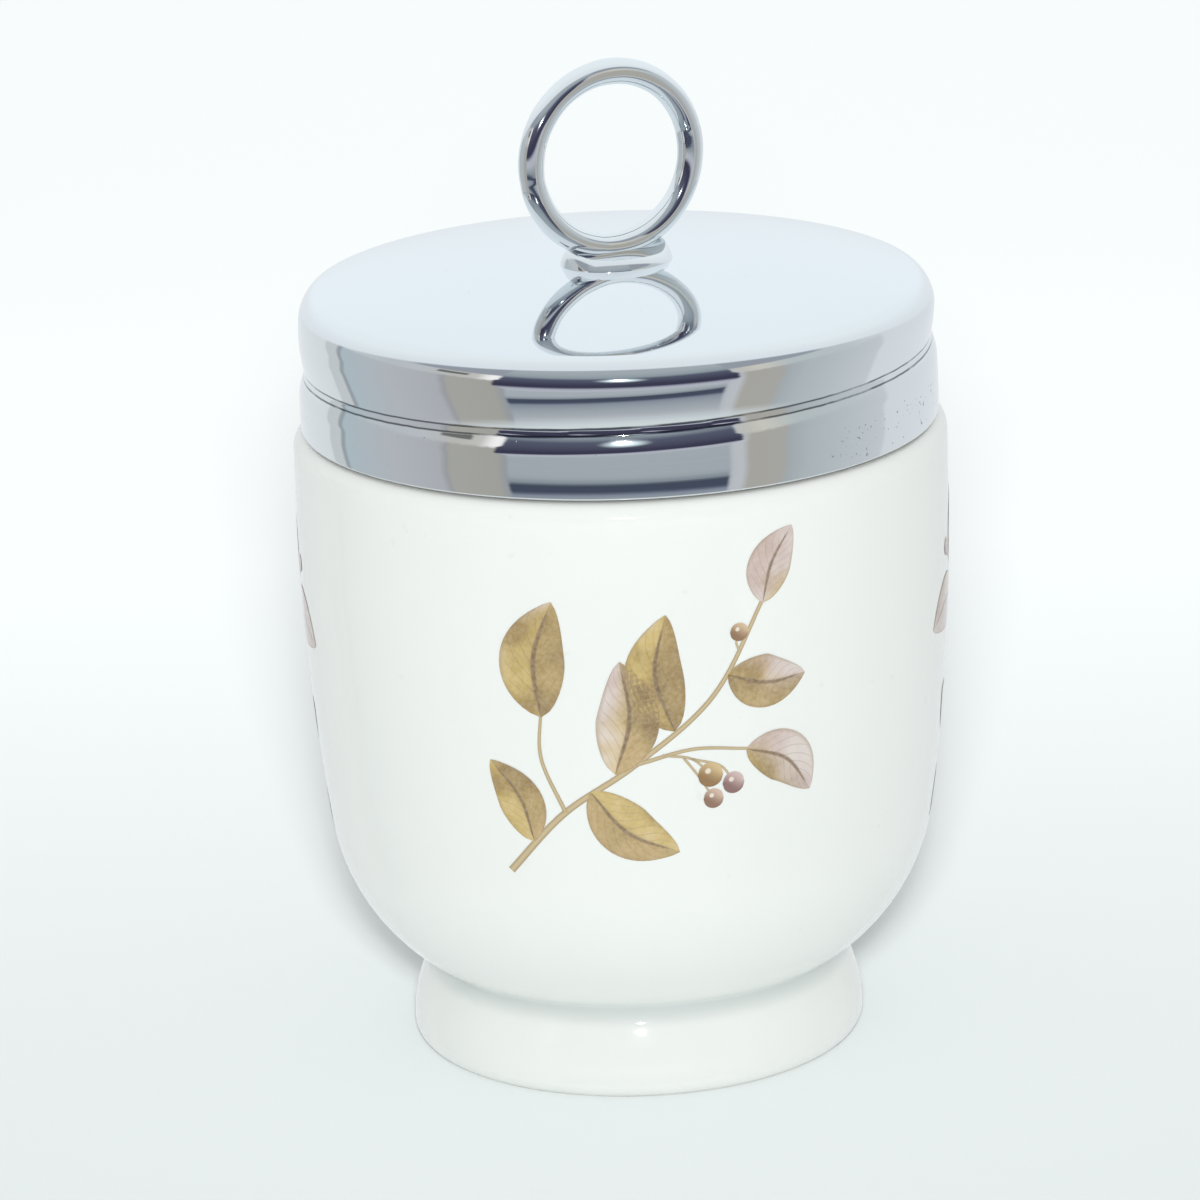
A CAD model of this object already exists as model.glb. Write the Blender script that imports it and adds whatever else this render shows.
import math

import bpy
from mathutils import Matrix, Vector


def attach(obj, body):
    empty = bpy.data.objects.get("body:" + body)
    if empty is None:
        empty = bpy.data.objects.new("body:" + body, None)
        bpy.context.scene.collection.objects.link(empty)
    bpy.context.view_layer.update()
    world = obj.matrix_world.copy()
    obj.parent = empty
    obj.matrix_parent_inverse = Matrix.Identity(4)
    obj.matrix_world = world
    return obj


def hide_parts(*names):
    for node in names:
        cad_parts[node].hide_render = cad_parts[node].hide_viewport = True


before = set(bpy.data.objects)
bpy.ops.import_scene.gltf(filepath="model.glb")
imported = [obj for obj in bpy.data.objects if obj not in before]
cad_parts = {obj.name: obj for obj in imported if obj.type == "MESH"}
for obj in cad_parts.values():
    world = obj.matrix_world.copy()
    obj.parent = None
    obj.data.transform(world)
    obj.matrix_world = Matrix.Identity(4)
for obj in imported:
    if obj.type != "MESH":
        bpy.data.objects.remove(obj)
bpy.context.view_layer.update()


# ---------------------------------------------------------------- table and light
# The coddler stands on white paper that sweeps back out of sight.  The room behind the
# camera is dark, and the metal of the lid mirrors it.

class Wire:
    """The output of a node, with arithmetic on it."""

    def __init__(self, socket):
        self.socket = socket

    def node(self, kind, settings=None, inputs=None, output=0):
        """The output of a new node in the same tree, with its settings and inputs."""
        tree = self.socket.id_data
        made = tree.nodes.new(kind)
        for name, setting in (settings or {}).items():
            if name == "stops":
                ramp = made.color_ramp
                ramp.elements.remove(ramp.elements[1])
                for number, (place, colour) in enumerate(setting):
                    stop = ramp.elements[0] if number == 0 else ramp.elements.new(place)
                    stop.position = place
                    stop.color = colour
            else:
                setattr(made, name, setting)
        for name, given in (inputs or {}).items():
            if isinstance(given, Wire):
                tree.links.new(given.socket, made.inputs[name])
            else:
                made.inputs[name].default_value = given
        return Wire(made.outputs[output])

    def maths(self, operation, *others):
        return self.node("ShaderNodeMath", {"operation": operation}, dict(enumerate((self, *others))))

    def __add__(self, other):
        return self.maths("ADD", other)

    def __mul__(self, other):
        return self.maths("MULTIPLY", other)

    def __sub__(self, other):
        return self.maths("SUBTRACT", other)

    def __truediv__(self, other):
        return self.maths("DIVIDE", other)

    def __rsub__(self, other):
        return (self * -1) + other

    __radd__ = __add__
    __rmul__ = __mul__

    def step(self, low, high):
        """0 below low, 1 above high, and smooth in between."""
        return self.node("ShaderNodeMapRange", {"interpolation_type": "SMOOTHSTEP"},
                         {"Value": self, "From Min": low, "From Max": high})

    def within(self, low, high, soft):
        """1 between low and high, with edges as wide as soft."""
        return self.step(low - soft, low) * (1 - self.step(high, high + soft))

    def mix(self, first, second):
        """Goes from the first colour to the second as this goes from 0 to 1."""
        return self.node("ShaderNodeMix", {"data_type": "RGBA"}, {0: self, 6: first, 7: second}, 2)

    def ramp(self, low, high, stops):
        """A colour by where this lies from low to high; a stop is a place and its colour."""
        share = self.node("ShaderNodeMapRange", {}, {"Value": self, "From Min": low, "From Max": high})
        placed = [((place - low) / (high - low), colour) for place, colour in stops]
        return self.node("ShaderNodeValToRGB", {"stops": placed}, {0: share})

    def axes(self):
        """The three parts of a vector."""
        parts = self.node("ShaderNodeSeparateXYZ", {}, {0: self}).socket.node
        return [Wire(part) for part in parts.outputs]

    def noise(self, scale, detail=2.0, stretch=(1, 1, 1)):
        """Even noise around 0.5, with this many cells to a metre."""
        placed = self.node("ShaderNodeMapping", {}, {0: self, 3: stretch})
        return placed.node("ShaderNodeTexNoise", {}, {"Vector": placed, "Scale": scale,
                                                      "Detail": detail})


def seen(red, green, blue):
    """A colour as it looks on screen, from 0 to 255, as the light that it stands for."""
    light = []
    for part in (red, green, blue):
        part /= 255
        light.append(part / 12.92 if part < 0.04045 else ((part + 0.055) / 1.055) ** 2.4)
    return (*light, 1)


CHROME_TINT = (0.82, 0.85, 0.87)


def in_chrome(red, green, blue):
    """The light that polished chrome mirrors as this colour."""
    return (*(light / tint for light, tint in zip(seen(red, green, blue), CHROME_TINT)), 1)


def new_material(name):
    """A material: its Object coordinates in metres, and a function that sets its surface."""
    material = bpy.data.materials.new(name)
    material.use_nodes = True
    nodes, links = material.node_tree.nodes, material.node_tree.links
    nodes.clear()
    place = Wire(nodes.new("ShaderNodeTexCoord").outputs["Object"])
    output = nodes.new("ShaderNodeOutputMaterial")

    def surface(wire):
        links.new(wire.socket, output.inputs["Surface"])
        return material

    return place, surface


def light_path(wire, *kinds):
    """1 for the kinds of ray that are named."""
    outputs = wire.node("ShaderNodeLightPath").socket.node.outputs
    rays = [Wire(outputs[f"Is {kind} Ray"]) for kind in kinds]
    total = rays[0]
    for ray in rays[1:]:
        total = total.maths("MAXIMUM", ray)
    return total


# paper, with a darker tone towards the lamps, so that it looks evenly lit
PAPER_SIDE = 8.0
bpy.ops.object.select_all(action="DESELECT")
bpy.ops.mesh.primitive_plane_add(size=1.0, location=(0, 0, 0))
paper = bpy.context.object
paper.name = "paper"
paper.scale = (PAPER_SIDE, PAPER_SIDE, 1)
bpy.ops.object.transform_apply(location=True, rotation=True, scale=True)
place, surface = new_material("paper")
back = place.axes()[1]
tone = back.ramp(-2.0, 0.4, [
    (-0.850, seen(248, 252, 252)), (-0.700, seen(178, 183, 183)), (-0.100, seen(178, 183, 183)),
    (0.048, seen(214, 219, 219)), (0.168, seen(242, 246, 246)), (0.254, seen(248, 252, 252))])
matt = tone.node("ShaderNodeBsdfDiffuse", {}, {"Color": tone})
lift = (light_path(tone, "Camera") * back.step(0.15, 0.60) * 0.12).mix((0, 0, 0, 1), tone)
lifted = tone.node("ShaderNodeAddShader", {}, {
    0: matt, 1: tone.node("ShaderNodeEmission", {}, {"Color": lift})})
clear = tone.node("ShaderNodeBsdfTransparent")
paper.data.materials.append(surface(tone.node("ShaderNodeMixShader", {}, {
    0: light_path(tone, "Glossy", "Transmission"), 1: lifted, 2: clear})))

# room, by the direction that a ray leaves in: angles in degrees round from +X and up
world = bpy.data.worlds.new("room")
bpy.context.scene.world = world
world.use_nodes = True
world.node_tree.nodes.clear()
direction = Wire(world.node_tree.nodes.new("ShaderNodeTexCoord").outputs["Generated"])
east, north, up = direction.axes()
azimuth = north.maths("ARCTAN2", east) * (180 / math.pi)
height = up.maths("ARCSINE") * (180 / math.pi)


def mirrored_stops(*stops):
    """The stops of a ramp, from places and the colours that chrome shows there."""
    return [(place, in_chrome(*colour)) for place, colour in stops]


table_light = azimuth.ramp(-180, 180, mirrored_stops(
    (-180, (173, 179, 185)), (-157, (168, 172, 178)), (-155, (150, 153, 158)), (-153, (162, 163, 158)),
    (-135, (160, 160, 155)), (-131, (146, 152, 158)), (-120, (150, 158, 165)), (-62, (155, 164, 170)),
    (-52, (160, 168, 175)), (-50, (181, 186, 192)), (-46, (182, 187, 192)), (-44, (164, 163, 158)),
    (-30, (164, 164, 160)), (-28, (160, 168, 172)), (-20, (168, 178, 183)), (18, (190, 198, 203)),
    (20, (204, 212, 217)), (98, (214, 222, 228)), (142, (205, 213, 217)), (143.5, (186, 194, 199)),
    (151, (188, 196, 200)), (152.5, (112, 119, 126)), (154, (168, 183, 190)), (180, (173, 179, 185))))
wall_light = azimuth.ramp(-180, 180, mirrored_stops(
    (-180, (180, 187, 192)), (-166, (181, 187, 192)), (-150, (182, 182, 178)), (-142, (190, 190, 188)),
    (-137, (238, 238, 238)), (-134, (238, 238, 238)), (-131, (150, 158, 165)), (-54, (160, 168, 174)),
    (-51, (180, 186, 190)), (-44, (186, 187, 182)), (-38, (196, 195, 187)), (-24, (175, 186, 189)),
    (0, (182, 191, 196)), (30, (206, 215, 220)), (90, (214, 223, 229)), (145, (208, 217, 222)),
    (165, (183, 193, 198)), (180, (180, 187, 192))))
front_light = height.ramp(-90, 90, mirrored_stops(
    (-90, (206, 214, 218)), (-36, (203, 213, 216)), (-31, (164, 171, 178)), (-25, (140, 149, 158)),
    (-23, (126, 135, 150)), (-21.5, (66, 74, 92)), (-17.5, (66, 74, 90)), (-16, (128, 138, 146)),
    (-12.5, (160, 168, 175)), (-9.5, (174, 180, 190)), (-6, (166, 170, 182)), (-3.5, (112, 114, 132)),
    (-1.5, (56, 56, 76)), (4, (58, 58, 78)), (20, (82, 88, 106)), (26, (140, 152, 160)),
    (37, (157, 166, 173)), (50, (160, 169, 176))))
ceiling_light = north.ramp(-1, 1, mirrored_stops(
    (-1, (207, 216, 222)), (0.1, (223, 233, 238)), (1, (224, 235, 242))))
ragged = direction.noise(28, 3) - 0.5
sky = (height + ragged * 4).step(7, 12).mix(table_light, wall_light)
# a grey rim above the walls, a dark streak on the left, and the bright table under it all
sky = (height.step(22.5, 25) * azimuth.within(-168, -12, 8)).mix(sky, in_chrome(144, 151, 161))
sky = (height.within(17.5, 21, 1.5) * azimuth.within(-158, -147, 2)).mix(sky, in_chrome(104, 107, 106))
sky = (height * -1).step(31, 36).mix(sky, in_chrome(200, 209, 212))
# the dark room in front, where the camera and its flash are
spread = (height + 10).step(0, 7) * 4.5 - height.step(10, 14) * 2
from_front = (azimuth + 91 + ragged * 1.5).maths("ABSOLUTE") - spread
in_front = 1 - from_front.step(38.8, 40.6)
mirrored = in_front.mix(sky, front_light)
HALO_AZIMUTH, HALO_HEIGHT, HALO_HALF_WIDTH, HALO_HALF_HEIGHT = -89, 16.5, 11, 6.5
halo = (azimuth - HALO_AZIMUTH).maths("ABSOLUTE") / HALO_HALF_WIDTH
halo_up = (height - HALO_HEIGHT).maths("ABSOLUTE") / HALO_HALF_HEIGHT
halo_glow = 1 - (halo * halo + halo_up * halo_up).maths("SQRT").step(0.15, 1.0)
mirrored = halo_glow.mix(mirrored, in_chrome(228, 246, 252))
# the pale ceiling, which the top of the lid mirrors
overhead = up + north * 0.54
ceiling_light = overhead.step(0.42, 0.80).mix(in_chrome(214, 223, 229), ceiling_light)
mirrored = overhead.step(0.355, 0.43).mix(mirrored, ceiling_light)
# what lights matt surfaces, and what the camera sees past the paper
soft_light = up.step(-1, 1).mix((0.665, 0.675, 0.685, 1), (0.780, 0.783, 0.785, 1))
room_light = light_path(direction, "Glossy").mix(soft_light, mirrored)
room_light = light_path(direction, "Camera").mix(room_light, seen(250, 255, 254))
glow = direction.node("ShaderNodeBackground", {}, {"Color": room_light, "Strength": 1.0})
room = world.node_tree.nodes.new("ShaderNodeOutputWorld")
world.node_tree.links.new(glow.socket, room.inputs["Surface"])


LAMP_TARGET = (0, 0, 0.05)


def hang_lamp(name, place, size, energy):
    """A round lamp that points at the middle of the coddler."""
    data = bpy.data.lights.new(name, "AREA")
    data.shape = "DISK"
    data.size = size
    data.energy = energy
    lamp = bpy.data.objects.new(name, data)
    bpy.context.scene.collection.objects.link(lamp)
    place = Vector(place)
    lamp.matrix_world = Matrix.Translation(place) @ (
        Vector(LAMP_TARGET) - place).to_track_quat("-Z", "Y").to_matrix().to_4x4()
    return lamp


# the flash, just above the lens, and a broader lamp that only lights the paper
hang_lamp("flash", (0.004, -0.600, 0.262), size=0.022, energy=1.1)
papers = bpy.data.collections.new("papers")
papers.objects.link(paper)
paper_lamp = hang_lamp("paper_lamp", (0.002, -0.600, 0.275), size=0.085, energy=5.5)
paper_lamp.light_linking.receiver_collection = papers

CAMERA_PLACE = (0, -0.60541, 0.22907)
CAMERA_TURN, CAMERA_TILT, CAMERA_ROLL = 0.0042606, 0.295307, -0.0341664     # radians
camera_data = bpy.data.cameras.new("camera")
camera_data.lens = 189.09
camera_data.sensor_width = 36.0
camera_data.clip_start = 0.01
camera = bpy.data.objects.new("camera", camera_data)
bpy.context.scene.collection.objects.link(camera)
camera.matrix_world = (Matrix.Translation(CAMERA_PLACE) @ Matrix.Rotation(CAMERA_TURN, 4, "Z")
                       @ Matrix.Rotation(math.pi / 2 - CAMERA_TILT, 4, "X")
                       @ Matrix.Rotation(CAMERA_ROLL, 4, "Z"))
bpy.context.scene.camera = camera
bpy.context.scene.view_settings.view_transform = "Standard"


# ---------------------------------------------------------------- cup
# Bowl, foot and neck are one piece of porcelain, slip cast and glazed all over but for
# the ring that it stands on.  The thread of the neck is a rounded ridge under the glaze.

MM = 0.001


def arc_stations(start, end, radius, turn, step):
    """Places along an arc from start to end; it bends left or right of its way."""
    chord = end - start
    across = Vector((-chord.y, chord.x)).normalized() * (1 if turn == "left" else -1)
    centre = (start + end) / 2 + across * math.sqrt(max(radius ** 2 - chord.length ** 2 / 4, 0))
    first, sweep = start - centre, (start - centre).angle_signed(end - centre)
    count = max(2, round(radius * abs(sweep) / step), round(abs(sweep) / math.radians(9)))
    for number in range(1, count + 1):
        turned = Matrix.Rotation(-sweep * number / count, 2)
        yield centre + turned @ first


def stations(corners, step=1.6):
    """Places along an outline in mm.  A corner is (radius, height), or has the radius and
    the side of the arc that follows it, or a finer step for the straight that follows."""
    places = []
    for corner, following in zip(corners, corners[1:]):
        start, end = Vector(corner[:2]), Vector(following[:2])
        if len(corner) == 4:
            run = list(arc_stations(start, end, corner[2], corner[3], step))
        else:
            fine = corner[2] if len(corner) == 3 else step
            count = max(1, round((end - start).length / fine))
            run = [start.lerp(end, number / count) for number in range(1, count + 1)]
        places += ([start] if not places else []) + run
    return places


def turn_piece(name, corners, segments, step=1.6, closed=False):
    """A round piece, spun about the upright axis from an outline in mm."""
    places = stations(corners, step)
    if closed:
        places = places[:-1]
    bpy.ops.object.select_all(action="DESELECT")
    bpy.ops.mesh.primitive_plane_add(size=MM, location=(places[0].x * MM, 0, places[0].y * MM))
    piece = bpy.context.object
    piece.name = name
    bpy.ops.object.transform_apply(location=True, rotation=True, scale=True)
    bpy.ops.object.mode_set(mode="EDIT")
    bpy.ops.mesh.select_all(action="SELECT")
    bpy.ops.mesh.merge(type="CENTER")
    for before, after in zip(places, places[1:]):
        move = (after - before) * MM
        bpy.ops.mesh.extrude_region_move(TRANSFORM_OT_translate={"value": (move.x, 0, move.y)})
    if closed:
        bpy.ops.mesh.select_all(action="SELECT")
        bpy.ops.mesh.edge_face_add()
        bpy.ops.mesh.delete(type="ONLY_FACE")
    bpy.ops.mesh.select_all(action="SELECT")
    bpy.ops.mesh.spin(steps=segments, angle=2 * math.pi, center=(0, 0, 0), axis=(0, 0, 1),
                      use_auto_merge=True)
    bpy.ops.mesh.select_all(action="SELECT")
    bpy.ops.mesh.remove_doubles(threshold=2e-7)
    bpy.ops.mesh.normals_make_consistent(inside=False)
    bpy.ops.object.mode_set(mode="OBJECT")
    bpy.ops.object.shade_smooth()
    return piece


THREAD_PITCH = 4.2


def off_thread(point, low_angle, low_height, turns):
    """How far a point in mm lies from the middle of a thread; below it this is negative."""
    angle = math.degrees(math.atan2(point.y, point.x))
    distances = []
    for wrap in range(-1, 4):
        along = angle + 360 * wrap - low_angle
        held = min(max(along, 0), 360 * turns)
        past = math.radians(along - held) * math.hypot(point.x, point.y)
        rise = point.z - low_height - THREAD_PITCH * held / 360
        distances.append(math.copysign(math.hypot(rise, past), rise))
    return min(distances, key=abs)


RIDGE = (110, 70.638, 0.9246)       # angle and height of its low end, and its turns
RIDGE_PROUD = 0.65
RIDGE_FILLET = 0.06
NECK_RADIUS = 30.15
NECK_FROM, NECK_TO = 64.6, 77
BOWL_RADIUS = 32.55
STRAIGHT_FROM = 56.1                # the wall is upright above
FLANK_CURVE = 245
BELLY_TOP = 23.5                    # the wall turns in faster below
BELLY_CURVE = 20.45
BELLY_CENTRE = (10.103, 26.221)     # of the belly's arc: radius and height
cup = turn_piece("cup", [
    (0, 6.2), (17.463, 6.2, 1.0, "right"), (18.463, 5.2), (19.063, 0.7, 0.7, "left"), (19.763, 0),
    (21.763, 0, 1.714, "left"), (22.863, 1.6, 13.669, "left"), (20.813, 8.8, BELLY_CURVE, "left"),
    (30.371, BELLY_TOP, FLANK_CURVE, "left"), (BOWL_RADIUS, STRAIGHT_FROM),
    (BOWL_RADIUS, 62.2, 1.9, "left"), (30.65, 64.1), (30.55, 64.1, 0.4, "right"),
    (NECK_RADIUS, 64.5, 0.2), (NECK_RADIUS, 76.22, 1.4, "left"), (28.75, 77.62),
    (28.1, 77.62, 1.4, "left"), (26.7, 76.22), (26.7, 65.1, 11.408, "left"),
    (27.625, 60.6, 11.408, "right"), (28.55, STRAIGHT_FROM, 241, "right"),
    (26.287, 23.149, 15, "right"), (11.428, 10.2), (0, 10.2)], segments=176)
for vertex in cup.data.vertices:
    point = vertex.co / MM
    radius = math.hypot(point.x, point.y)
    if radius > NECK_RADIUS - 0.15 and NECK_FROM < point.z < NECK_TO:
        proud = RIDGE_PROUD * (1 - off_thread(point, *RIDGE) ** 2)
        proud = RIDGE_FILLET * math.log1p(math.exp(proud / RIDGE_FILLET))
        grown = (radius + proud) / radius
        vertex.co.x *= grown
        vertex.co.y *= grown

place, surface = new_material("glazed_china")
x, y, z = place.axes()
radius = (x * x + y * y).maths("SQRT")
cloud = place.noise(55, 3)
pooled = z.within(0.0083, 0.0091, 0.0014) * radius.step(0.0185, 0.0195) * 0.8
body_tint = cloud.mix((0.850, 0.872, 0.838, 1), (0.874, 0.887, 0.857, 1))
glaze_tint = pooled.mix(body_tint, (0.70, 0.74, 0.72, 1))
fleck = place.noise(700, 0).step(0.83, 0.86)
glaze_tint = (fleck * 0.06).mix(glaze_tint, (0.42, 0.38, 0.32, 1))
bare = (1 - z.step(0.0002, 0.0005)) * radius.within(0.01965, 0.0221, 0.0002)
bare_tint = place.noise(1500, 4).mix((0.70, 0.68, 0.62, 1), (0.86, 0.85, 0.80, 1))
ridge_top = radius.step(0.03055, 0.0308) * z.within(0.0690, 0.0760, 0.0006)
rubbed = ridge_top * place.noise(400, 4, (1, 1, 6)).step(0.42, 0.60)
tint = rubbed.mix(bare.mix(glaze_tint, bare_tint), (0.42, 0.43, 0.44, 1))
gloss = bare * 0.55 + rubbed * 0.25 + place.noise(260, 3) * 0.03 + 0.05
ripple = place.noise(85, 1) + place.noise(1600, 2) * bare * 0.6
cup.data.materials.append(surface(tint.node("ShaderNodeBsdfPrincipled", {}, {
    "Base Color": tint, "Roughness": gloss, "IOR": 1.5,
    "Normal": ripple.node("ShaderNodeBump", {}, {
        "Strength": 0.35, "Distance": 0.00012, "Height": ripple})})))
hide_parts("porcelain_cup")
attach(cup, "cup")


# ---------------------------------------------------------------- printed sprigs
# Three sprigs of autumn leaves and berries are printed as ceramic transfers and fired on
# the glaze.  Each stroke lies a few hundredths of a millimetre above it.

def bowl_radius(height):
    """Outside radius of the bowl in mm at a height in mm."""
    if height > STRAIGHT_FROM:
        return BOWL_RADIUS
    if height > BELLY_TOP:
        return BOWL_RADIUS - FLANK_CURVE + math.sqrt(FLANK_CURVE ** 2 - (STRAIGHT_FROM - height) ** 2)
    return BELLY_CENTRE[0] + math.sqrt(BELLY_CURVE ** 2 - (BELLY_CENTRE[1] - height) ** 2)


PRINT_RADIUS = 31.5                 # middling radius of the printed part of the bowl
LEAF_LIFT, STEM_LIFT, BERRY_LIFT = 0.035, 0.03, 0.04
LEAF, STEM, BERRY = 0.0, 1.0, 2.0   # kinds of stroke, as the material tells them apart
LEAF_FULLEST = 0.45                 # share of its length where a leaf is widest


def on_bowl(across, height, angle, lift):
    """The place of a printed point, from its distances in mm across and up the bowl."""
    turn = math.radians(angle) + across / PRINT_RADIUS
    reach = bowl_radius(height) + lift
    return Vector((reach * math.cos(turn), reach * math.sin(turn), height)) * MM


def along_line(points, share):
    """A place on a smooth curve through a few points, and the way that it runs there."""
    def at(share):
        steps = len(points) - 1
        k = min(int(share * steps), steps - 1)
        t = share * steps - k
        a, b = points[k], points[k + 1]
        before = points[k - 1] if k else 2 * a - b
        after = points[k + 2] if k + 2 <= steps else 2 * b - a
        return 0.5 * (2 * a + (b - before) * t + (2 * before - 5 * a + 4 * b - after) * t * t
                      + (3 * a - before - 3 * b + after) * t ** 3)
    here = at(share)
    way = at(min(share + 0.01, 1)) - at(max(share - 0.01, 0))
    return here, way.normalized()


def print_stroke(points, width, angle, lift, tone, kind, long_cells, wide_cells):
    """One printed stroke: a strip along a curve, as wide as width says at each share of it."""
    bpy.ops.object.select_all(action="DESELECT")
    bpy.ops.mesh.primitive_grid_add(x_subdivisions=long_cells, y_subdivisions=wide_cells, size=1.0,
                                    calc_uvs=True)
    stroke = bpy.context.object
    points = [Vector(point) for point in points]
    for vertex in stroke.data.vertices:
        share, side = vertex.co.x + 0.5, vertex.co.y * 2
        here, way = along_line(points, share)
        reach = here + Vector((-way.y, way.x)) * side * width(share, side)
        vertex.co = on_bowl(reach.x, reach.y, angle, lift)
    for name, given in (("tone", tone), ("kind", kind)):
        stroke.data.attributes.new(name, "FLOAT", "POINT").data.foreach_set(
            "value", [given] * len(stroke.data.vertices))
    return stroke


def leaf_width(half):
    """Half the width of a leaf along its length: pointed at the tip, round near the stalk."""
    def width(share, side):
        bulge = share ** (math.log(0.5) / math.log(LEAF_FULLEST))
        return half * max(math.sin(math.pi * bulge), 0) ** 0.78 * (1.0 if side > 0 else 0.9) + 0.05
    return width


def print_leaf(root, tip, half, bow, angle, tone):
    """A leaf: half is half its greatest width, and bow its bend as a share of its length."""
    root, tip = Vector(root), Vector(tip)
    way = tip - root
    middle = (root + tip) / 2 + Vector((-way.y, way.x)) * bow
    return print_stroke([root, middle, tip], leaf_width(half), angle, LEAF_LIFT, tone, LEAF, 22, 12)


def print_stem(points, thick, thin, angle):
    """A stem through a few points, from thick to thin."""
    def width(share, side):
        return thick + (thin - thick) * share
    return print_stroke(points, width, angle, STEM_LIFT, 0.5, STEM, 12 * len(points), 2)


def print_berry(middle, size, angle, tone):
    """A round berry, with size for its radius."""
    left = (middle[0] - size, middle[1])
    right = (middle[0] + size, middle[1])

    def width(share, side):
        return size * math.sqrt(max(1 - (2 * share - 1) ** 2, 0)) + 0.02
    return print_stroke([left, right], width, angle, BERRY_LIFT, tone, BERRY, 16, 8)


def join_strokes(name, strokes):
    """One piece from a sprig's strokes."""
    bpy.ops.object.select_all(action="DESELECT")
    for stroke in strokes:
        stroke.select_set(True)
    bpy.context.view_layer.objects.active = strokes[0]
    bpy.ops.object.join()
    sprig = bpy.context.object
    sprig.name = name
    bpy.ops.object.shade_smooth()
    return sprig


place, surface = new_material("printed_colours")
uv = place.node("ShaderNodeUVMap", {"uv_map": "UVMap"})
along, across, _ = uv.axes()
tone = place.node("ShaderNodeAttribute", {"attribute_name": "tone"}, output=2)
kind = place.node("ShaderNodeAttribute", {"attribute_name": "kind"}, output=2)
side = (across - 0.5) * 2
off_rib = side.maths("ABSOLUTE")
wash = place.noise(210, 4)
dots = place.noise(2600, 2)
ochre = wash.ramp(0, 1, [
    (0.32, seen(158, 132, 84)), (0.45, seen(188, 163, 100)), (0.56, seen(205, 181, 118)),
    (0.68, seen(214, 190, 146))])
mauve = wash.ramp(0, 1, [
    (0.32, seen(190, 168, 160)), (0.5, seen(209, 193, 191)), (0.68, seen(221, 212, 208))])
brown = wash.ramp(0, 1, [
    (0.35, seen(126, 104, 76)), (0.55, seen(156, 130, 92)), (0.7, seen(182, 150, 104))])
blush = (tone * 1.4 + (along - 0.5) * 0.5 + side * 0.28 + (wash - 0.5) * 0.8 - 0.45).step(0.15, 0.75)
leaf = blush.mix(ochre, mauve)
shaded = (1 - side.step(-0.15, 0.25)) * (1 - tone.step(0.65, 0.95)) * 0.62
leaf = shaded.mix(leaf, brown)
vein_run = (along - off_rib * 0.32) * 8.0
vein = (vein_run.maths("FRACT") - 0.5).maths("ABSOLUTE")
vein = (1 - vein.step(0.02, 0.10)) * off_rib.within(0.06, 0.80, 0.1) * 0.30
leaf = vein.mix(leaf, seen(140, 112, 84))
rib = (1 - off_rib.step(0.03, 0.11)) * (1 - along.step(0.82, 0.99)) * 0.85
leaf = rib.mix(leaf, seen(118, 95, 74))
edge = off_rib.step(0.80, 1.0) * 0.45
leaf = edge.mix(leaf, seen(150, 126, 92))
leaf = ((dots - 0.5) * 0.5 + 0.12).maths("MAXIMUM", 0.0).mix(leaf, seen(228, 214, 186))
stem = (off_rib.step(0.1, 0.9) * 0.5).mix(seen(202, 184, 148), seen(150, 124, 88))
shade = (across * 0.7 + along * 0.5 - 0.2).step(0.15, 0.85)
berry = shade.mix(tone.mix(seen(152, 122, 76), seen(142, 112, 112)),
                  tone.mix(seen(214, 188, 130), seen(208, 184, 184)))
from_shine = (along - 0.40) * (along - 0.40) + (across - 0.66) * (across - 0.66)
berry = ((1 - from_shine.step(0.006, 0.02)) * 0.8).mix(berry, seen(240, 232, 216))
ink = kind.step(1.4, 1.6).mix(kind.step(0.4, 0.6).mix(leaf, stem), berry)
printed = surface(ink.node("ShaderNodeBsdfPrincipled", {}, {
    "Base Color": ink, "Roughness": 0.10, "IOR": 1.5}))


def print_sprig(name, angle, mirror, stems, leaves, berries):
    """A sprig about an upright line on the bowl, with its points in mm across and up.

    A mirror of -1 turns it the other way."""
    def at(*points):
        return [(mirror * across, height) for across, height in points]
    strokes = [print_stem(at(*points), thick, thin, angle) for points, thick, thin in stems]
    for root, tip, half, bow, tone in leaves:
        strokes.append(print_leaf(*at(root, tip), half, mirror * bow, angle, tone))
    for middle, size, tone in berries:
        strokes.append(print_berry(*at(middle), size, angle, tone))
    return join_strokes(name, strokes)


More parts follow.
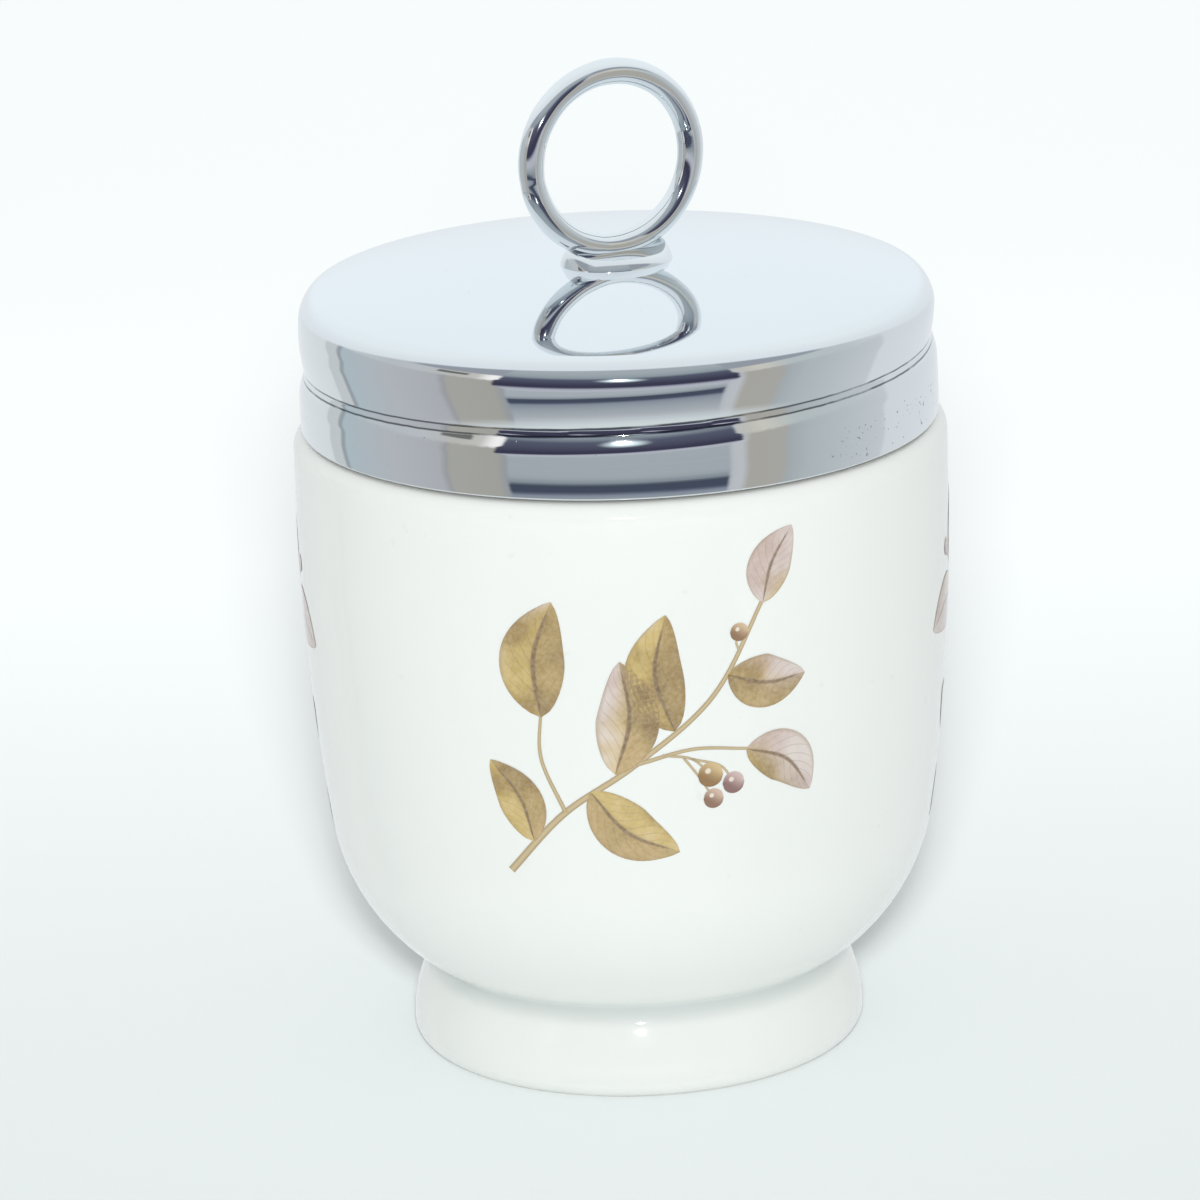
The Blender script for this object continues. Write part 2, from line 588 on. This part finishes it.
FRONT = -90.0
front_sprig = print_sprig("front_sprig", FRONT, 1, stems=(
    (((-12.5, 26.5), (-6.5, 33.0), (0.5, 38.0), (8.0, 44.5), (13.0, 53.5)), 0.38, 0.20),
    (((0.5, 38.0), (6.0, 39.2), (11.5, 38.6)), 0.22, 0.14),
    (((-6.5, 33.0), (-8.6, 38.5), (-8.4, 43.5)), 0.22, 0.14),
    (((3.0, 38.8), (5.8, 38.2), (7.6, 36.4)), 0.14, 0.10),
    (((5.8, 38.2), (8.6, 37.2), (9.9, 35.3)), 0.13, 0.10),
    (((5.0, 38.4), (6.4, 36.4), (7.9, 33.9)), 0.13, 0.10),
    (((10.6, 48.6), (10.3, 49.6), (10.6, 50.6)), 0.12, 0.09),
), leaves=(
    ((-9.8, 29.8), (-13.8, 38.0), 2.4, -0.10, 0.15), ((-8.4, 42.8), (-7.0, 54.5), 3.3, 0.10, 0.35),
    ((-4.0, 35.2), (4.5, 28.6), 2.9, -0.12, 0.05), ((-1.5, 37.0), (-0.8, 48.5), 3.1, -0.10, 0.55),
    ((4.2, 41.2), (3.6, 53.0), 2.9, 0.12, 0.20), ((11.2, 38.6), (18.2, 33.2), 2.7, 0.14, 0.80),
    ((9.4, 46.4), (17.4, 45.4), 2.8, -0.10, 0.62), ((13.0, 53.2), (16.2, 60.4), 2.3, 0.08, 0.90),
), berries=(
    ((7.6, 36.4), 1.25, 0.2), ((9.9, 35.3), 1.1, 0.9), ((7.9, 33.9), 1.0, 0.6),
    ((10.6, 50.6), 0.9, 0.4)))


def side_sprig(name, angle, mirror):
    """A taller, looser sprig that shows at the edge of the bowl."""
    return print_sprig(name, angle, mirror, stems=(
        (((-3.0, 19.5), (-4.5, 30.0), (-1.5, 41.0), (2.0, 47.0), (3.0, 52.0)), 0.34, 0.18),
        (((-4.2, 28.5), (-9.0, 33.0), (-12.0, 38.0)), 0.22, 0.13),
        (((-9.0, 33.0), (-9.1, 34.2), (-8.4, 35.2)), 0.13, 0.10),
        (((-7.0, 31.2), (-8.6, 30.9), (-9.9, 31.2)), 0.13, 0.10),
        (((2.7, 49.6), (4.3, 50.0), (5.5, 51.2)), 0.13, 0.10),
    ), leaves=(
        ((-3.6, 25.0), (4.6, 22.6), 2.5, 0.12, 0.75), ((-11.8, 37.6), (-14.2, 47.8), 2.9, -0.08, 0.95),
        ((-4.0, 33.0), (4.4, 36.0), 2.8, -0.12, 0.30), ((-3.0, 37.5), (-8.2, 48.2), 3.0, 0.10, 0.70),
        ((0.6, 45.2), (10.6, 44.0), 3.0, 0.10, 0.85), ((2.4, 48.6), (-3.0, 56.0), 2.6, -0.10, 0.55),
    ), berries=(
        ((-8.4, 35.2), 1.15, 0.8), ((-9.9, 31.2), 1.0, 0.3), ((5.5, 51.2), 0.9, 0.6)))


left_sprig = side_sprig("left_sprig", FRONT - 92.0, 1)
right_sprig = side_sprig("right_sprig", FRONT + 89.0, -1)
for sprig in (front_sprig, left_sprig, right_sprig):
    sprig.data.materials.clear()
    sprig.data.materials.append(printed)
    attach(sprig, "cup")


# ---------------------------------------------------------------- lid
# The lid is pressed from thin brass sheet, has its thread rolled into the skirt, and is
# polished and chromed.  The rolling leaves the skirt as two soft bands.

GROOVE = (95, 68.9, 0.9995)         # angle and height of its low end, and its turns
GROOVE_DEPTH = 0.55
GROOVE_ABOVE, GROOVE_BELOW = 3.6, 2.1       # how far the shoulders reach from its middle
GROOVE_FLAT = 0.3                   # half the width of its floor
GROOVE_HOLLOW = 1.55                # power by which the shoulders curve
GROOVE_TOP = 75.9                   # it fades out over the last millimetre below this
SKIRT_EDGE = 64.35                  # height of the skirt's lower edge
SKIRT_RADIUS = 31.5                 # outside, at the corner
SKIRT_TAPER = 0.3                   # it widens this much towards its edge
EDGE_CURL, CURL_FROM = 0.13, 66.6
HALF_SHEET = 0.25
CORNER_OUT, CORNER_HEIGHT = 28.8, 75.458    # centre of the rounding between skirt and dome
CORNER_CURVE = 2.2                  # inside
DOME_CURVE = 235
DOME_CENTRE = -155.05
DOME_EDGE, ROUNDING_EDGE = 29.1, 30.4


def roll_depth(off):
    """How far the skirt is pressed in, in mm, at a distance from the middle of the groove."""
    reach = GROOVE_ABOVE if off > 0 else GROOVE_BELOW
    return GROOVE_DEPTH * max(0.0, 1 - max(abs(off), GROOVE_FLAT) / reach) ** GROOVE_HOLLOW


def under_dome(radius, height):
    """Whether a place on the dome or its rounding is on the inner side of the sheet."""
    dome = DOME_CENTRE + math.sqrt(DOME_CURVE ** 2 - min(radius, DOME_EDGE) ** 2)
    off_centre = math.hypot(max(radius - CORNER_OUT, 0), height - CORNER_HEIGHT)
    return height < dome - HALF_SHEET and radius < ROUNDING_EDGE and (
        radius < CORNER_OUT or off_centre < CORNER_CURVE + HALF_SHEET)


lid = turn_piece("lid", [
    (1.55, 79.445, 234.5, "right"), (29.073, 77.641, CORNER_CURVE, "right"),
    (31.0, CORNER_HEIGHT, 0.2), (31.3, SKIRT_EDGE), (SKIRT_RADIUS + SKIRT_TAPER, SKIRT_EDGE, 0.15),
    (31.51, 75.05, 3.66, "left"), (30.497, 77.484, 1.328, "left"), (29.79, 77.87, 60, "left"),
    (24.68, 78.645, DOME_CURVE, "left"), (1.55, 79.945), (1.55, 79.445)],
    segments=256, step=0.4, closed=True)
inside = lid.data.attributes.new("inside", "FLOAT", "POINT")
off_groove = lid.data.attributes.new("off_groove", "FLOAT", "POINT")
for number, vertex in enumerate(lid.data.vertices):
    point = vertex.co / MM
    radius = math.hypot(point.x, point.y)
    on_skirt = point.z < 76.5 and radius > 30
    if on_skirt:
        down = (CORNER_HEIGHT - point.z) / (CORNER_HEIGHT - SKIRT_EDGE)
        inside.data[number].value = radius < SKIRT_RADIUS + SKIRT_TAPER * down - HALF_SHEET
        off = off_thread(point, *GROOVE)
        off_groove.data[number].value = off
        pressed = roll_depth(off) * min(1, max(0, GROOVE_TOP - point.z))
        curl = EDGE_CURL * max(0, (CURL_FROM - point.z) / (CURL_FROM - SKIRT_EDGE)) ** 2
        shrunk = (radius - pressed - curl) / radius
        vertex.co.x *= shrunk
        vertex.co.y *= shrunk
    else:
        inside.data[number].value = under_dome(radius, point.z)
        off_groove.data[number].value = 9.0     # far from the groove


def chrome(name, worn=1.0, dull=0.0, soiled=False):
    """Polished chromium plate: hairlines round the axis, pits and wiping marks.

    Where it is soiled, two fine lines of dirt follow the groove."""
    place, surface = new_material(name)
    x, y, z = place.axes()
    radius = (x * x + y * y).maths("SQRT")
    hidden = place.node("ShaderNodeAttribute", {"attribute_name": "inside"}, output=2)
    bloom = place.noise(45, 3)
    tint = bloom.mix((0.80, 0.83, 0.85, 1), (0.84, 0.87, 0.89, 1))
    pit_field = place.noise(2300, 1)
    pitted = place.noise(120, 2)
    angle = y.maths("ARCTAN2", x)
    patch = angle.within(-0.78, -0.22, 0.25) * z.within(0.0655, 0.0683, 0.0012) * 0.13
    pits = (pit_field + (pitted - 0.5) * 0.10 + patch * worn).step(0.80, 0.84) * worn
    tint = (pits * 0.55).mix(tint, (0.20, 0.21, 0.22, 1))
    if soiled:
        off = place.node("ShaderNodeAttribute", {"attribute_name": "off_groove"}, output=2)
        off = (off + (place.noise(700, 2) - 0.5) * 0.10).maths("ABSOLUTE")
        broken = place.noise(260, 3, (1, 1, 0.3)).step(0.30, 0.50)
        dirt = off.within(0.29, 0.39, 0.08) * (0.35 + broken * 0.5)
        tint = dirt.mix(tint, (0.10, 0.11, 0.12, 1))
    tint = (hidden * 0.75).mix(tint, (0.52, 0.52, 0.50, 1))
    lines = place.noise(60, 2, (0.4, 0.4, 60))
    wiped = place.noise(700, 3, (1, 0.06, 1))
    rough = ((bloom - 0.5) * 0.03 + 0.035 + dull + pits * 0.35 + hidden * 0.20
             + (wiped - 0.5).maths("MAXIMUM", 0.0) * 0.06)
    fine = (lines - 0.5) * 0.14 + (wiped - 0.5) * 0.10 + pits * -2.2
    bump = fine.node("ShaderNodeBump", {}, {"Strength": 0.22, "Distance": 0.00003, "Height": fine})
    return surface(tint.node("ShaderNodeBsdfPrincipled", {}, {
        "Base Color": tint, "Metallic": 1.0, "Roughness": rough, "Normal": bump}))


lid.data.materials.append(chrome("lid_chrome", soiled=True))
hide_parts("lid_shell")
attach(lid, "lid")


# ---------------------------------------------------------------- handle base
# A low, round mound of plated brass sits on the dome, and climbs the ring a little at both
# ends.  Its spigot goes through the lid and is riveted over a loose washer inside.

RING_TURN = math.radians(25.9)      # angle of the ring's plane


def along_ring(along, over, height):
    """A place in metres, from its distances in mm along and across the ring's plane."""
    return Vector((along * math.cos(RING_TURN) - over * math.sin(RING_TURN),
                   along * math.sin(RING_TURN) + over * math.cos(RING_TURN), height)) * MM


MOUND_FOOT = 79.9                   # the ends climb above this height
MOUND_CLIMB = 1.25
CLIMB_AT = 5.4                      # distance along the ring where they climb so much
CLIMB_HALF_WIDTH = 3.2
MOUND_STRETCH = (1.15, 0.96)        # along and across the ring
MOUND_SHIFT = 0.2
mound = turn_piece("mound", [
    (0, 79.70), (5.02, 79.70), (5.02, 79.82, 3.4, "left"), (4.50, 80.80, 0.24, "left"),
    (4.30, 80.91, 50.0, "left"), (0, 81.08)], segments=160, step=0.16)
for vertex in mound.data.vertices:
    along, over, height = vertex.co / MM
    under_wire = (abs(along) / CLIMB_AT) ** 3 * max(0, 1 - (over / CLIMB_HALF_WIDTH) ** 2)
    height += max(0, height - MOUND_FOOT) * MOUND_CLIMB * under_wire
    vertex.co = along_ring(along * MOUND_STRETCH[0] + MOUND_SHIFT, over * MOUND_STRETCH[1], height)
rivet = turn_piece("rivet", [
    (0, 77.767, 6.356, "left"), (2.8, 78.417), (2.8, 78.767), (1.5, 78.767, 0.3), (1.5, 80.0),
    (0, 80.0)], segments=96, step=0.35)
bpy.ops.object.select_all(action="DESELECT")
rivet.select_set(True)
mound.select_set(True)
bpy.context.view_layer.objects.active = mound
bpy.ops.object.join()
mound.data.attributes.new("inside", "FLOAT", "POINT")
mound.data.materials.append(chrome("mound_chrome", worn=0.6, dull=0.01))
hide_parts("handle_base")
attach(mound, "lid")


# ---------------------------------------------------------------- washer
# A stamped brass washer lies loose between the dome and the rivet's head.  It spreads the
# pull of the ring, and stays still while the lid turns.

washer = turn_piece("washer", [
    (1.55, 78.80), (4.36, 78.787, 0.14, "left"), (4.5, 78.93), (4.5, 79.24, 0.14, "left"),
    (4.36, 79.38), (1.55, 79.387), (1.55, 78.80)], segments=96, step=0.35, closed=True)
washer.data.attributes.new("inside", "FLOAT", "POINT")
washer.data.materials.append(chrome("washer_chrome", worn=0.8, dull=0.10))
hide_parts("rivet_washer")
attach(washer, "washer")


# ---------------------------------------------------------------- ring
# Round wire is bent to a ring, and its ends meet at the foot.  It is polished and plated,
# and the plate follows small nicks that bending left in the wire.

RING_MIDDLE = 90.22
RING_RADIUS = 8.72
WIRE_RADIUS = 1.3
WIRE_SLACK = 0.012                  # share that the wire is thinner than its place allows
# nicks: angle round the ring, depth as a share of the wire, and spread in degrees
NICKS = ((14.0, 0.022, 1.6), (188.0, 0.026, 1.5), (191.5, 0.012, 1.2), (262.0, 0.03, 5.0))
# waves: share of the wire, count round the ring, and start in degrees
WAVES = ((0.010, 5, 40), (0.006, 13, 0))
bpy.ops.object.select_all(action="DESELECT")
bpy.ops.mesh.primitive_torus_add(major_radius=RING_RADIUS * MM, minor_radius=WIRE_RADIUS * MM,
                                 major_segments=200, minor_segments=40,
                                 location=(0, 0, RING_MIDDLE * MM),
                                 rotation=(math.pi / 2, 0, RING_TURN))
ring = bpy.context.object
ring.name = "ring"
bpy.ops.object.transform_apply(location=True, rotation=True, scale=True)
for vertex in ring.data.vertices:
    point = vertex.co / MM
    sideways = point.x * math.cos(RING_TURN) + point.y * math.sin(RING_TURN)
    rise = point.z - RING_MIDDLE
    turn = math.degrees(math.atan2(rise, sideways))
    core = Vector((RING_RADIUS * math.cos(math.radians(turn)) * math.cos(RING_TURN),
                   RING_RADIUS * math.cos(math.radians(turn)) * math.sin(RING_TURN),
                   RING_MIDDLE + RING_RADIUS * math.sin(math.radians(turn))))
    nick = 0.0
    for angle, depth, spread in NICKS:
        gap = (turn - angle + 180) % 360 - 180
        nick += depth * math.exp(-(gap / spread) ** 2)
    wave = sum(size * math.sin(math.radians(count * turn + start)) for size, count, start in WAVES)
    vertex.co = (core + (point - core) * (1 - WIRE_SLACK - nick + wave)) * MM
bpy.ops.object.shade_smooth()
ring.data.attributes.new("inside", "FLOAT", "POINT")
ring.data.materials.append(chrome("ring_chrome", dull=0.015))
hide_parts("lift_ring")
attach(ring, "lid")


# ---------------------------------------------------------------- braze
# Brazing solder fills the corner between the wire and the mound, and is plated with them.
# It holds the ring still.

BRAZE_HALF_LENGTH, BRAZE_HALF_WIDTH, BRAZE_HALF_HEIGHT = 4.9, 1.30, 0.80
BRAZE_MIDDLE = 80.75
BRAZE_RISE = 0.30                   # its ends are this much higher than its middle
bpy.ops.object.select_all(action="DESELECT")
bpy.ops.mesh.primitive_uv_sphere_add(segments=64, ring_count=40, radius=1.0, location=(0, 0, 0))
braze = bpy.context.object
braze.name = "braze"
for vertex in braze.data.vertices:
    along, over, rise = vertex.co
    blunt = math.sqrt(1 + along ** 2 + along ** 4)      # its ends are blunter than a ball's
    vertex.co = along_ring(along * BRAZE_HALF_LENGTH,
                           over * BRAZE_HALF_WIDTH * blunt * (1 - 0.25 * abs(along)),
                           BRAZE_MIDDLE + rise * BRAZE_HALF_HEIGHT * blunt + BRAZE_RISE * along ** 2)
bpy.ops.object.shade_smooth()
braze.data.attributes.new("inside", "FLOAT", "POINT")
braze.data.materials.append(chrome("braze_chrome", worn=1.5, dull=0.09))
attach(braze, "lid")
